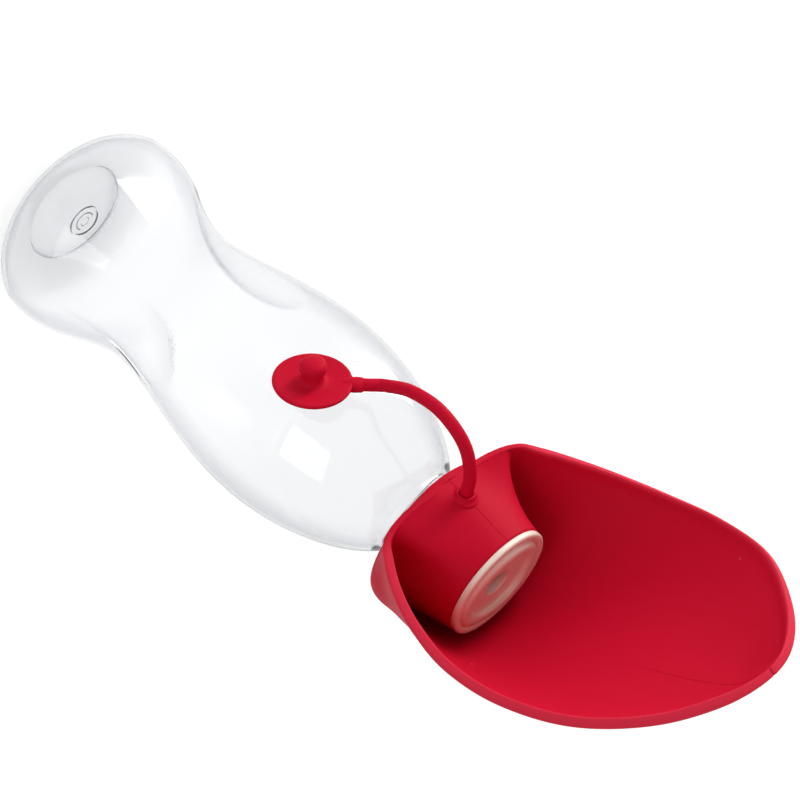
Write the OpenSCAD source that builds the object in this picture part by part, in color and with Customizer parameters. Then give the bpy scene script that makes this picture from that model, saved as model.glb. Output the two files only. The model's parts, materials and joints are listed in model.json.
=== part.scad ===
// Travel water bottle with a folding leaf bowl.
// The bottle stands on its base ring at z = 0 with its axis on Z.
// The bowl grows from a sleeve round the screw cap, and its hollow faces -Y.

/* [Bottle] */
// Radius of the ring that the bottle stands on
base_ring_r = 20.4; // [17:0.1:24]
// Largest radius, low on the bottle
bulge_r = 37; // [35:0.5:39]
// Height of the largest radius
bulge_z = 13; // [10:0.5:18]
// Radius at the waist that the fingers close round
waist_r = 26.4; // [24:0.2:29]
// Height of the waist
waist_z = 54; // [48:1:60]
// Radius of the belly above the waist
belly_r = 34.4; // [32:0.2:35]
// Height of the belly
belly_z = 112; // [104:1:118]
// Height at which the shoulder meets the neck
shoulder_z = 166; // [163:0.5:168]
// Wall of the bottle
bottle_wall = 1.2; // [0.8:0.1:1.8]
// Rise of the base in the middle
punt_h = 6.2; // [4:0.1:9]
// Radius of the moulding nub under the base
nub_r = 3; // [2:0.1:4.5]
// Depth of the two finger scoops
scoop_depth = 4; // [2:0.25:5]
// Radius of the ball shape that leaves a scoop
scoop_r = 45; // [40:1:60]
// Height of the middle of a scoop
scoop_z = 58; // [54:1:62]
// Angle of a scoop round the bottle, towards the bowl's open side
scoop_turn = 17; // [0:1:30]

/* [Neck] */
// Outer radius of the neck
neck_r = 14.5; // [14:0.1:15]
// Bore radius of the neck
neck_bore_r = 12.5; // [12.2:0.1:12.8]
// Height of the neck's top edge
neck_top_z = 193.5; // [193:0.25:194]
// Radius of the support ring under the cap
support_ring_r = 17.2; // [16:0.1:18]
// Thickness of the support ring
support_ring_t = 1.4; // [1:0.1:2]
// Height of the thread's ridge over the neck
thread_depth = 1.1; // [0.8:0.05:1.2]
// Pitch of the thread
thread_pitch = 4; // [3.6:0.1:4.4]
// Turns of the thread
thread_turns = 1.5; // [1:0.25:2]

/* [Cap] */
// Clearance between the cap's bore and the thread on the neck
thread_clear = 0.3; // [0.2:0.05:0.5]
// Wall of the cap's skirt
cap_wall = 1.7; // [1.4:0.1:2]
// Height of the cap's lower edge
cap_foot_z = 171.5; // [170.8:0.1:174]
// Radius of the cap's front flange
flange_r = 19.2; // [18.9:0.1:19.6]
// Thickness of the cap's front flange
flange_t = 2; // [1.6:0.1:2.4]
// Depth of the round recess that takes the stopper's disc
recess_depth = 1; // [0.6:0.1:1.4]
// Radius of the recess
recess_r = 11.8; // [11.5:0.1:13]
// Height of the raised bead round the recess
bead_h = 0.9; // [0.5:0.1:1.3]
// Thickness of the cap's front wall
front_wall = 3; // [2.4:0.1:3.4]
// Radius of the outlet hole
outlet_r = 4.5; // [4.3:0.1:4.7]
// Thickness of the gasket on the neck
gasket_t = 1; // [0.8:0.1:1.4]

/* [Flow valve] */
// Radius of the flow valve's flange
valve_r = 9.6; // [9.2:0.1:9.8]
// Thickness of the flow valve's flange
valve_t = 1.6; // [1.2:0.1:2]
// Radius of the flow valve's dome
valve_dome_r = 5.6; // [5:0.1:5.8]
// Thickness of the flow valve's dome
valve_skin = 0.9; // [0.7:0.1:1.1]
// Length of the slit in the flow valve
slit_l = 6; // [5:0.5:7]
// Height of the ring that holds the flow valve
retainer_h = 3.2; // [2.6:0.1:3.6]

/* [Bowl] */
// Wall of the bowl
bowl_wall = 2.2; // [1.8:0.1:2.6]
// Wall of the sleeve
sleeve_wall = 1.8; // [1.4:0.1:2]
// Radius of the sleeve at its root
sleeve_root_r = 23.4; // [22.8:0.1:24]
// Height of the sleeve's root
sleeve_root_z = 172.4; // [171:0.1:173]
// Half width of the bowl at its widest
bowl_half_w = 50; // [47:0.2:52]
// Height of the leaf's tip
bowl_tip_z = 285.8; // [278:0.2:292]
// Reach of the leaf's tip in front of the bottle's axis
bowl_tip_reach = 51; // [46:0.5:56]
// Depth of the bowl's outside behind the bottle's axis
bowl_depth = 30.2; // [28:0.2:33]
// Width of the flat floor as a share of the bowl's width
floor_share = 0.58; // [0.5:0.01:0.7]

/* [Strap and stopper] */
// Diameter of the strap
strap_d = 3.5; // [3:0.1:4]
// Height of the strap's eyelet on the sleeve
eyelet_z = 181.4; // [180.5:0.1:182.5]
// Clearance of the strap's stem in the eyelet
eyelet_clear = 0.15; // [0.1:0.05:0.3]
// Radius of the collar round the eyelet
collar_r = 3; // [2.7:0.1:3.4]
// Radius of the stopper's disc
disc_r = 12; // [11.7:0.1:12.4]
// Thickness of the stopper's disc
disc_t = 1.8; // [1.4:0.1:2.2]
// Radius of the stopper's plug
plug_r = 3.6; // [3.4:0.1:3.7]
// Length of the stopper's plug
plug_l = 7.2; // [6.4:0.1:8]

/* [Hidden] */
$fn = 96;
seat = 0.05;               // gap between parts that are held together

clear_plastic = [0.86, 0.90, 0.92, 0.45];
cream = [0.90, 0.84, 0.74];
red = [0.72, 0.03, 0.11];

// Heights and radii that follow from the driving sizes
ring_clear = 0.6;          // gap between the support ring and the cap's lower edge
neck_foot_z = cap_foot_z - ring_clear - support_ring_t;
crest_r = neck_r + thread_depth;
cap_bore_r = crest_r + thread_clear;
cap_r = cap_bore_r + cap_wall;
cap_seat_z = neck_top_z + gasket_t;
cap_face_z = cap_seat_z + 7.2;
flange_z = cap_face_z - flange_t;
recess_z = cap_face_z - recess_depth;
front_back_z = recess_z - front_wall;
sleeve_bore_r = cap_r + seat;
sleeve_mouth_r = sleeve_bore_r + sleeve_wall;
sleeve_mouth_z = flange_z - seat;

//---------------------------------------------------------------- shared maths

// A smooth step from 0 to 1
function ease(t) = (1 - cos(180 * t)) / 2;

function mix(a, b, t) = a + (b - a) * t;

// A smooth curve through the points of a list, at t from 0 to len - 1
function curve_end(list, i) =
    i < 0 ? 2 * list[0] - list[1]
    : i > len(list) - 1 ? 2 * list[len(list) - 1] - list[len(list) - 2]
    : list[i];
function curve(list, t) =
    let (k = min(floor(t), len(list) - 2), f = t - k,
         a = curve_end(list, k - 1), b = list[k], c = list[k + 1], d = curve_end(list, k + 2))
    0.5 * (2 * b + (c - a) * f + (2 * a - 5 * b + 4 * c - d) * f * f
           + (3 * b - a - 3 * c + d) * f * f * f);

//---------------------------------------------------------------------- bottle

belly_fullness = 0.85;
shoulder_fullness = 0.75;

// Outer radius of the bottle at height z
function bottle_r(z) =
    z < bulge_z ? base_ring_r + (bulge_r - base_ring_r) * sqrt(1 - pow((bulge_z - z) / bulge_z, 2))
    : z < waist_z ? mix(bulge_r, waist_r, ease((z - bulge_z) / (waist_z - bulge_z)))
    : z < belly_z ? mix(waist_r, belly_r, ease(pow((z - waist_z) / (belly_z - waist_z), belly_fullness)))
    : neck_r + (belly_r - neck_r)
        * pow(max(0, 1 - pow((z - belly_z) / (shoulder_z - belly_z), 2)), shoulder_fullness);

// Inner radius: the wall is measured square to the surface
function bottle_in_r(z) =
    let (slope = bottle_r(z + 0.25) - bottle_r(z - 0.25))
    max(neck_bore_r, bottle_r(z) - bottle_wall * sqrt(1 + 4 * slope * slope));

foot_w = 1.6;              // width of the rounding inside the base ring
floor_t = bottle_wall * 1.3;
function punt_z(r) = punt_h * (1 - pow(r / (base_ring_r - foot_w), 4));

outer_steps = [for (i = [0 : 9]) bulge_z * (1 - cos(9 * i)),
               for (i = [1 : 44]) mix(bulge_z, shoulder_z - 0.2, i / 44)];
inner_steps = [for (i = [2 : 9]) floor_t + (bulge_z - floor_t) * (1 - cos(9 * i)),
               for (i = [1 : 44]) mix(bulge_z, shoulder_z - 1, i / 44)];

module scoops(grow) {
    for (side = [-1, 1])
        rotate([0, 0, side > 0 ? -scoop_turn : 180 + scoop_turn])
            translate([waist_r - scoop_depth + scoop_r, 0, scoop_z])
                sphere(r = scoop_r + grow);
}

module bottle_outer() {
    difference() {
        rotate_extrude()
            polygon([
                for (i = [0 : 6]) let (r = (base_ring_r - foot_w) * i / 6) [r, punt_z(r)],
                for (z = outer_steps) [bottle_r(z), z],
                [neck_r, shoulder_z],
                [neck_r, neck_foot_z],
                [0, neck_foot_z]
            ]);
        scoops(0);
    }
}

module bottle_inner() {
    difference() {
        rotate_extrude()
            polygon([
                for (i = [0 : 6]) let (r = (base_ring_r - foot_w) * i / 6) [r, punt_z(r) + floor_t],
                for (z = inner_steps) [bottle_in_r(z), z],
                [neck_bore_r, shoulder_z + 1],
                [neck_bore_r, neck_foot_z + 1],
                [0, neck_foot_z + 1]
            ]);
        scoops(bottle_wall);
    }
}

// One ridge of a screw thread, from root_r to tip_r, tapered away at its ends
thread_w = thread_pitch * 0.34;
function thread_ring(root_r, tip_r, start_z, a) =
    let (run = 360 * thread_turns, fade = min(1, min(a, run - a) / 30 + 0.05),
         z = start_z + thread_pitch * a / 360, tip = mix(root_r, tip_r, fade))
    [for (p = [[root_r, -0.5], [tip, -0.2], [tip, 0.2], [root_r, 0.5]])
        [p[0] * cos(a), p[0] * sin(a), z + p[1] * thread_w]];

module thread(root_r, tip_r, start_z) {
    run = 360 * thread_turns;
    n = ceil(run / 15);
    rings = [for (i = [0 : n]) thread_ring(root_r, tip_r, start_z, run * i / n)];
    sides = [for (i = [0 : n - 1]) for (j = [0 : 3])
        [4 * i + j, 4 * (i + 1) + j, 4 * (i + 1) + (j + 1) % 4, 4 * i + (j + 1) % 4]];
    faces = concat([[0, 1, 2, 3]], sides, [[4 * n + 3, 4 * n + 2, 4 * n + 1, 4 * n]]);
    outward = tip_r > root_r;
    polyhedron(
        points = [for (r = rings) for (p = r) p],
        faces = outward ? [for (f = faces) [for (i = [len(f) - 1 : -1 : 0]) f[i]]] : faces);
}

bottle_thread_z = neck_top_z - thread_pitch * thread_turns - 5;

module bottle() {
    color(clear_plastic) {
        difference() {
            bottle_outer();
            bottle_inner();
        }
        translate([0, 0, punt_h - 0.5])
            difference() {
                cylinder(r = nub_r, h = 0.8);
                translate([0, 0, -0.1])
                    cylinder(r = nub_r * 0.55, h = 0.5);
            }
    }
}

// The neck is moulded in one with the bottle, and meets it under the support ring
module bottle_neck() {
    neck_h = neck_top_z - neck_foot_z;
    color(clear_plastic)
        translate([0, 0, neck_foot_z]) {
            difference() {
                union() {
                    cylinder(r = neck_r, h = neck_h);
                    cylinder(r = support_ring_r, h = support_ring_t);
                }
                translate([0, 0, -1])
                    cylinder(r = neck_bore_r, h = neck_h + 2);
            }
            thread(neck_r - 0.4, crest_r, bottle_thread_z - neck_foot_z);
        }
}

module neck_gasket() {
    color(cream)
        translate([0, 0, neck_top_z])
            difference() {
                cylinder(r = cap_bore_r - 0.3, h = gasket_t);
                translate([0, 0, -1])
                    cylinder(r = neck_bore_r - 0.2, h = gasket_t + 2);
            }
}

//------------------------------------------------------------------------- cap

boss_r = neck_bore_r - 1.1;      // tube inside the neck that holds the valve
boss_foot_z = cap_seat_z - 7;
valve_seat_z = cap_seat_z - 0.5;
valve_foot_z = valve_seat_z - valve_t;
chamber_r = valve_r - 1;
bead_in_r = recess_r + 0.1;
bead_out_r = flange_r - 3.2;
rib_h = 0.4;

// The cap's ridge runs just under the ridge on the neck
cap_thread_z = bottle_thread_z - thread_w - thread_clear;

module cap_solid() {
    rotate_extrude()
        polygon([
            [0, cap_foot_z], [cap_r, cap_foot_z], [cap_r, flange_z], [flange_r, flange_z],
            [flange_r, cap_face_z - 0.7], [flange_r - 0.7, cap_face_z],
            [bead_out_r + 0.9, cap_face_z], [bead_out_r + 0.4, cap_face_z - 0.7],
            [bead_out_r, cap_face_z - 0.5],
            [bead_out_r - 0.5, cap_face_z + bead_h * 0.6],
            [mix(bead_in_r, bead_out_r, 0.6), cap_face_z + bead_h],
            [bead_in_r + 0.3, cap_face_z + bead_h],
            [bead_in_r, cap_face_z + bead_h * 0.6],
            [recess_r, recess_z], [0, recess_z]
        ]);
}

module screw_cap() {
    color(cream)
        difference() {
            union() {
                difference() {
                    cap_solid();
                    translate([0, 0, cap_foot_z - 1])
                        cylinder(r = cap_bore_r, h = cap_seat_z - cap_foot_z + 1);
                }
                translate([0, 0, boss_foot_z])
                    cylinder(r = boss_r, h = front_back_z - boss_foot_z + 1);
                thread(cap_bore_r + 0.4, neck_r + 0.2, cap_thread_z);
            }
            translate([0, 0, boss_foot_z - 1])
                cylinder(r = valve_r + seat, h = valve_seat_z - boss_foot_z + 1);
            translate([0, 0, valve_seat_z - 1])
                cylinder(r = chamber_r, h = front_back_z - valve_seat_z + 1);
            translate([0, 0, front_back_z - 1])
                cylinder(r = outlet_r, h = front_wall + 2);
        }
}

module flow_valve() {
    color(cream)
        difference() {
            rotate_extrude()
                polygon([
                    [0, valve_foot_z - 2], [valve_dome_r * 0.5, valve_foot_z - 1.6],
                    [valve_dome_r * 0.85, valve_foot_z - 0.8], [valve_dome_r, valve_foot_z],
                    [valve_r, valve_foot_z], [valve_r, valve_seat_z],
                    [valve_dome_r, valve_seat_z],
                    [valve_dome_r * 0.75, valve_foot_z - 0.8 + valve_skin],
                    [valve_dome_r * 0.4, valve_foot_z - 1.6 + valve_skin],
                    [0, valve_foot_z - 2 + valve_skin]
                ]);
            for (turn = [0, 90])
                rotate([0, 0, turn])
                    translate([-slit_l / 2, -0.1, valve_foot_z - 3])
                        cube([slit_l, 0.2, valve_t + 4]);
        }
}

module valve_retainer() {
    color(cream)
        translate([0, 0, valve_foot_z - retainer_h])
            difference() {
                cylinder(r = valve_r, h = retainer_h);
                translate([0, 0, -1])
                    cylinder(r = valve_dome_r + 0.4, h = retainer_h + 2);
            }
}

//------------------------------------------------------------------------ bowl

// Heights along the leaf, as shares of the way from the sleeve's root to the tip
leaf_l = bowl_tip_z - sleeve_root_z;
function leaf_z(share) = sleeve_root_z + leaf_l * share;
root_front = sleeve_root_r;
split_turn = 0.8;          // half angle of the fine split in front of the sleeve

// Rim of the leaf from the middle of its back to its tip: half width, y, z
rim = [
    [root_front * sin(split_turn), -root_front, leaf_z(0.015)],
    [bowl_half_w * 0.34, -root_front + 0.4, leaf_z(0.015)],
    [bowl_half_w * 0.57, -root_front + 1.6, leaf_z(0.036)],
    [bowl_half_w * 0.69, -root_front + 2.8, leaf_z(0.084)],
    [bowl_half_w * 0.81, -root_front + 3.4, leaf_z(0.168)],
    [bowl_half_w * 0.91, -root_front + 2.8, leaf_z(0.272)],
    [bowl_half_w * 0.99, -root_front + 0.4, leaf_z(0.411)],
    [bowl_half_w, mix(-root_front, -bowl_tip_reach, 0.20), leaf_z(0.579)],
    [bowl_half_w * 0.89, mix(-root_front, -bowl_tip_reach, 0.47), leaf_z(0.750)],
    [bowl_half_w * 0.62, mix(-root_front, -bowl_tip_reach, 0.69), leaf_z(0.887)],
    [bowl_half_w * 0.30, mix(-root_front, -bowl_tip_reach, 0.86), leaf_z(0.967)],
    [0, -bowl_tip_reach, bowl_tip_z]
];

// Underside of the leaf in the mid plane: y, z
keel = [
    [root_front, leaf_z(0)],
    [bowl_depth * 0.90, leaf_z(-0.004)],
    [bowl_depth * 0.98, leaf_z(0.024)],
    [bowl_depth, leaf_z(0.082)],
    [bowl_depth * 0.965, leaf_z(0.160)],
    [bowl_depth * 0.81, leaf_z(0.256)],
    [mix(bowl_depth, -bowl_tip_reach, 0.2065), leaf_z(0.400)],
    [mix(bowl_depth, -bowl_tip_reach, 0.359), leaf_z(0.540)],
    [mix(bowl_depth, -bowl_tip_reach, 0.532), leaf_z(0.710)],
    [mix(bowl_depth, -bowl_tip_reach, 0.695), leaf_z(0.863)],
    [mix(bowl_depth, -bowl_tip_reach, 0.827), leaf_z(0.952)],
    [-bowl_tip_reach, bowl_tip_z]
];

blend_end = 0.4;           // where along the leaf its round root has become a trough
corner_pull = 1.25;        // how tightly the wall turns into the floor

// Points of the outside: s runs from the root to the tip, t from the rim to the keel
function root_point(t) =
    let (a = mix(split_turn, 180, t))
    [root_front * sin(a), -root_front * cos(a), sleeve_root_z];
function leaf_point(s, t) =
    let (b = max(0.0001, sin(90 * min(1, s / blend_end))),
         c0 = root_point(0), c1 = root_point(1), ring = root_point(t),
         top = curve(rim, s * 11), low = curve(keel, s * 11),
         u0 = (top - (1 - b) * c0) / b, u1 = ([0, low[0], low[1]] - (1 - b) * c1) / b,
         k = [floor_share * u0[0], u1[1], u1[2]],
         w = 2 * corner_pull * t * (1 - t), den = (1 - t) * (1 - t) + w + t * t,
         trough = ((1 - t) * (1 - t) * u0 + w * k + t * t * u1) / den)
    s <= 0 ? ring : (1 - b) * ring + b * trough;

function unit(v) = v / norm(v);

// The inside lies one wall away, square to the outside
function leaf_normal(s, t) =
    let (e = 0.012, sc = min(max(s, e), 1 - e), tc = min(max(t, e), 1 - e))
    unit(cross(leaf_point(sc + e, tc) - leaf_point(sc - e, tc),
               leaf_point(sc, tc + e) - leaf_point(sc, tc - e)));
function leaf_inside(s, t) =
    let (n = s <= 0 ? [0, 0, 1] : leaf_normal(s, t),
         flat = t >= 1 ? unit([0, n[1], n[2]]) : n)
    leaf_point(s, t) + bowl_wall * flat;

leaf_rows = 26;
leaf_cols = 15;
leaf_s = [for (i = [0 : leaf_rows]) i / leaf_rows];
leaf_t = [for (j = [0 : leaf_cols]) j / leaf_cols];
function mirrored(p) = [-p[0], p[1], p[2]];

// One row runs from the right rim over the keel to the left rim
function outside_row(s) = concat([for (t = leaf_t) leaf_point(s, t)],
    [for (j = [leaf_cols - 1 : -1 : 0]) mirrored(leaf_point(s, leaf_t[j]))]);
function inside_row(s) = concat([for (t = leaf_t) leaf_inside(s, t)],
    [for (j = [leaf_cols - 1 : -1 : 0]) mirrored(leaf_inside(s, leaf_t[j]))]);

module leaf() {
    cols = 2 * leaf_cols + 1;
    rows = leaf_rows;
    ins = cols * rows + 1;
    // the outer rows end at one point, the tip
    function o(i, j) = i == rows ? cols * rows : i * cols + j;
    function q(i, j) = ins + i * cols + j;
    points = concat(
        [for (i = [0 : rows - 1]) for (p = outside_row(leaf_s[i])) p],
        [leaf_point(1, 0)],
        [for (i = [0 : rows]) for (p = inside_row(leaf_s[i])) p]);
    function quad(a, b, c, d) = [[a, c, b], [a, d, c]];
    faces = concat(
        [for (i = [0 : rows - 2]) for (j = [0 : cols - 2])
            for (f = quad(o(i, j), o(i, j + 1), o(i + 1, j + 1), o(i + 1, j))) f],
        [for (j = [0 : cols - 2]) [o(rows - 1, j), o(rows, 0), o(rows - 1, j + 1)]],
        [for (i = [0 : rows - 1]) for (j = [0 : cols - 2])
            for (f = quad(q(i, j), q(i + 1, j), q(i + 1, j + 1), q(i, j + 1))) f],
        [for (j = [0 : cols - 2]) [o(rows, 0), q(rows, j), q(rows, j + 1)]],
        [for (i = [0 : rows - 2])
            for (f = quad(o(i, 0), o(i + 1, 0), q(i + 1, 0), q(i, 0))) f],
        [[o(rows - 1, 0), q(rows, 0), o(rows, 0)], [o(rows - 1, 0), q(rows - 1, 0), q(rows, 0)]],
        [for (i = [0 : rows - 2])
            for (f = quad(q(i, cols - 1), q(i + 1, cols - 1), o(i + 1, cols - 1), o(i, cols - 1))) f],
        [[q(rows, cols - 1), o(rows - 1, cols - 1), o(rows, 0)],
         [q(rows - 1, cols - 1), o(rows - 1, cols - 1), q(rows, cols - 1)]],
        [for (j = [0 : cols - 2])
            for (f = quad(q(0, j), q(0, j + 1), o(0, j + 1), o(0, j))) f]);
    polyhedron(points = points, faces = faces);
}

module bowl() {
    color(red) leaf();
}

// Distance of the eyelet's outer face from the axis
eyelet_face_r = sleeve_root_r + 0.6;
// The bowl's root ring has flat sides, and the sleeve's foot fits inside them
sleeve_foot_r = sleeve_root_r * cos(90 / leaf_cols) - 3 * seat;
sleeve_out = [
    [sleeve_foot_r, sleeve_root_z], [sleeve_foot_r, sleeve_root_z + 5],
    [mix(sleeve_root_r, sleeve_mouth_r, 0.12), mix(sleeve_root_z, sleeve_mouth_z, 0.40)],
    [mix(sleeve_root_r, sleeve_mouth_r, 0.36), mix(sleeve_root_z, sleeve_mouth_z, 0.58)],
    [mix(sleeve_root_r, sleeve_mouth_r, 0.66), mix(sleeve_root_z, sleeve_mouth_z, 0.76)],
    [mix(sleeve_root_r, sleeve_mouth_r, 0.88), mix(sleeve_root_z, sleeve_mouth_z, 0.90)],
    [sleeve_mouth_r, sleeve_mouth_z]
];
grip_z = mix(sleeve_root_z, sleeve_mouth_z, 0.62);  // above it the sleeve grips the cap

module sleeve() {
    color(red)
        difference() {
            union() {
                rotate_extrude()
                    polygon(concat(sleeve_out, [
                        [sleeve_bore_r, sleeve_mouth_z], [sleeve_bore_r, grip_z],
                        [sleeve_root_r - sleeve_wall - 0.8, mix(sleeve_root_z, grip_z, 0.55)],
                        [sleeve_root_r - sleeve_wall, sleeve_root_z]
                    ]));
                translate([0, -eyelet_face_r, eyelet_z])
                    rotate([-90, 0, 0])
                        cylinder(r = collar_r, h = 2);
            }
            translate([0, -eyelet_face_r - 1, eyelet_z])
                rotate([-90, 0, 0])
                    cylinder(r = strap_d / 2 + eyelet_clear, h = 8);
        }
}

//----------------------------------------------------------- strap and stopper

module strap_anchor() {
    stem_l = sleeve_wall + 3.2;
    color(red)
        translate([0, -eyelet_face_r, eyelet_z])
            rotate([-90, 0, 0]) {
                cylinder(r = strap_d / 2, h = stem_l);
                translate([0, 0, stem_l - 0.4])
                    cylinder(r1 = strap_d / 2 + 1.1, r2 = strap_d / 2 + 0.3, h = 1.4);
            }
}

// Place of the stopper beside the bottle: middle of the disc's face, and its lean
stopper_at = [15.5, -38, 129.5];
stopper_lean = 7.5;
tab_turn = 46;             // angle at which the strap meets the disc
tab_l = 1.6;
tab_back = strap_d / 2;    // the strap lies flush with the disc's plug side

// Direction from the disc's middle to the strap
tab_dir = [-sin(tab_turn), -cos(tab_turn) * sin(stopper_lean), cos(tab_turn) * cos(stopper_lean)];
disc_in = [0, cos(stopper_lean), sin(stopper_lean)] * tab_back;
strap_end = stopper_at + disc_in + (disc_r + tab_l) * tab_dir;

// Middle line of the strap, from the eyelet to the stopper
strap_route = [
    [0, -eyelet_face_r, eyelet_z],
    [0, -eyelet_face_r - 6, eyelet_z - 0.1],
    [0, -37, 179],
    [0.2, -41.6, 175.8],
    [0.6, -45.1, 170.9],
    [0.7, -46.7, 165],
    [0.7, -46.2, 159.3],
    [0.3, -44.1, 153.7],
    [-0.3, -40.9, 148.9],
    strap_end + 7 * tab_dir,
    strap_end + 3.5 * tab_dir,
    strap_end
];
strap_sides = 10;
strap_rings = 33;

// A round ring of the strap square to its run
function strap_ring(i) =
    let (t = (len(strap_route) - 1) * i / strap_rings, e = 0.02,
         p = curve(strap_route, t),
         run = i == 0 ? [0, -1, 0] : i == strap_rings ? -tab_dir
             : unit(curve(strap_route, min(t + e, len(strap_route) - 1)) - curve(strap_route, t - e)),
         side = unit(cross(run, [1, 0, 0])), up = cross(run, side))
    [for (k = [0 : strap_sides - 1])
        p + strap_d / 2 * (cos(360 * k / strap_sides) * side + sin(360 * k / strap_sides) * up)];

module strap() {
    n = strap_sides;
    last = strap_rings * n;
    color(red)
        polyhedron(
            points = [for (i = [0 : strap_rings]) for (p = strap_ring(i)) p],
            faces = concat(
                [[for (k = [0 : n - 1]) k]],
                [for (i = [0 : strap_rings - 1]) for (k = [0 : n - 1])
                    for (f = [[i * n + k, (i + 1) * n + k, (i + 1) * n + (k + 1) % n],
                              [i * n + k, (i + 1) * n + (k + 1) % n, i * n + (k + 1) % n]]) f],
                [[for (k = [n - 1 : -1 : 0]) last + k]]));
}

dish = 0.5;                // hollow of the disc's face
plug_neck_r = plug_r * 0.74;

module stopper() {
    color(red)
        translate(stopper_at)
            rotate([90 + stopper_lean, 0, 0]) {
                rotate_extrude()
                    polygon([
                        [0, -disc_t], [disc_r - 0.8, -disc_t], [disc_r, -disc_t * 0.6],
                        [disc_r, -0.3], [disc_r - 0.4, 0], [disc_r - 1.4, 0],
                        [plug_neck_r + 1.4, -dish], [plug_neck_r + 0.3, -dish * 0.4],
                        [plug_neck_r, 0.6],
                        [plug_neck_r, plug_l * 0.40], [plug_r * 0.96, plug_l * 0.50],
                        [plug_r, plug_l * 0.56], [plug_r, plug_l * 0.74],
                        [plug_r * 0.93, plug_l * 0.85], [plug_r * 0.74, plug_l * 0.94],
                        [plug_r * 0.42, plug_l * 0.99], [0, plug_l]
                    ]);
                rotate([0, 0, tab_turn])
                    translate([0, disc_r - 1.2, -tab_back])
                        rotate([-90, 0, 0])
                            cylinder(r = strap_d / 2, h = tab_l + 1.2);
            }
}

bottle();
bottle_neck();
neck_gasket();
screw_cap();
flow_valve();
valve_retainer();
bowl();
sleeve();
strap_anchor();
strap();
stopper();
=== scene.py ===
"""A dog's travel water bottle: clear bottle, screw cap, soft leaf bowl, strap and stopper.

Sizes are in millimetres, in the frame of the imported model, and meshes are made in metres.
"""

import json
import logging
import math
from collections.abc import Callable
from dataclasses import dataclass, field
from enum import Enum

import bpy
from mathutils import Matrix, Vector

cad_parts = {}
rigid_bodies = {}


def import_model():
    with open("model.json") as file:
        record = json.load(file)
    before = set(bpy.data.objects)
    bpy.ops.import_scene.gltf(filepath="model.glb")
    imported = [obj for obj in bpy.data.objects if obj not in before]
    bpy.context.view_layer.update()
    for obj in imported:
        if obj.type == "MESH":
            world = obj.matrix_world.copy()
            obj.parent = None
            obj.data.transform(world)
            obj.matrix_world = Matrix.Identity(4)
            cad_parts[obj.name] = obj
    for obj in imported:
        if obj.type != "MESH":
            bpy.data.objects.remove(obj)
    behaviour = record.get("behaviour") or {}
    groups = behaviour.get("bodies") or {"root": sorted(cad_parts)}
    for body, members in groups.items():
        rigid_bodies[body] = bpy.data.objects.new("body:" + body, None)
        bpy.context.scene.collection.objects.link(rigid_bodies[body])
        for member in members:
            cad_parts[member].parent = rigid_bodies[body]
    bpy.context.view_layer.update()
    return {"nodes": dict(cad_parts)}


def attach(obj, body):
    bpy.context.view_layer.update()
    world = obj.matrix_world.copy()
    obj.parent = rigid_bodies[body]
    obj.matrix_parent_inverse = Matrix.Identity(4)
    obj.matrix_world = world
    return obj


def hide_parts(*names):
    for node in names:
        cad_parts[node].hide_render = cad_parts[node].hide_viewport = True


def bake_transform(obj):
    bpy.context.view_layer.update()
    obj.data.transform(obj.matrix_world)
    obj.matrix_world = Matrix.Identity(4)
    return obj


LOG = logging.getLogger("travel_bottle")
MM = 0.001
# Vertex mark along the bowl's lip, where a painted highlight makes the silicone's base colour
# paler.
LIP_HIGHLIGHT_MARK = "painted_lip_highlight"
Point = tuple[float, float, float]
Colour = tuple[float, float, float, float]
Profile = list[tuple[float, float]]


class Body(Enum):
    """The bodies that pieces ride on."""

    BOTTLE = "bottle_body"
    CARRIER = "cap_lift_carrier"
    CAP = "cap_and_bowl"
    STRAP = "strap_link"
    STOPPER = "stopper_body"


class Slot(Enum):
    """The record's material slots."""

    CLEAR = "clear_bottle"
    CAP = "cap_plastic"
    GASKET = "gasket_rubber"
    VALVE = "valve_rubber"
    SILICONE = "red_silicone"


# ---------------------------------------------------------------------- maths


def mix(a: float, b: float, t: float) -> float:
    """Return the value a share t of the way from a to b."""
    return a + (b - a) * t


def clamp(t: float) -> float:
    """Return t held between 0 and 1."""
    return max(0.0, min(1.0, t))


def smooth(t: float) -> float:
    """Return a smooth step from 0 to 1."""
    t = clamp(t)
    return t * t * (3 - 2 * t)


def ramp(value: float, start: float, width: float) -> float:
    """Return a smooth step from 0 to 1 over a width that begins at start."""
    return smooth((value - start) / width)


def smooth_min(a: float, b: float, soft: float) -> float:
    """Return the lesser of a and b, rounded over a width.

    Args:
        a: The first value.
        b: The second value.
        soft: The width over which the corner is rounded.

    Returns:
        The rounded lesser value.
    """
    h = max(soft - abs(a - b), 0.0) / soft
    return min(a, b) - h * h * soft / 4


def spline(points: list[Point], t: float, past: Point | None = None) -> Vector:
    """Return a point of the smooth curve through some points.

    Args:
        points: The points that the curve passes through.
        t: The place on the curve, from 0 to the number of points less 1.
        past: The point that the curve heads for after its last one.

    Returns:
        The point of the curve.
    """
    last = len(points) - 1
    k = min(int(t), last - 1)
    f = t - k
    b, c = Vector(points[k]), Vector(points[k + 1])
    a = Vector(points[k - 1]) if k > 0 else 2 * b - c
    d = Vector(points[k + 2]) if k + 2 <= last else Vector(past or 2 * c - b)
    return 0.5 * (
        2 * b + (c - a) * f + (2 * a - 5 * b + 4 * c - d) * f * f
        + (3 * b - a - 3 * c + d) * f * f * f
    )


def narrow(test: Callable[[float], bool], low: float, high: float, rounds: int) -> float:
    """Return the place between low and high where a test stops being true.

    Args:
        test: The test, true at low.
        low: The lower end of the range.
        high: The upper end of the range.
        rounds: How often the range is halved.

    Returns:
        The place, just past the last true one.
    """
    for _ in range(rounds):
        middle = (low + high) / 2
        if test(middle):
            low = middle
        else:
            high = middle
    return high


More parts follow.
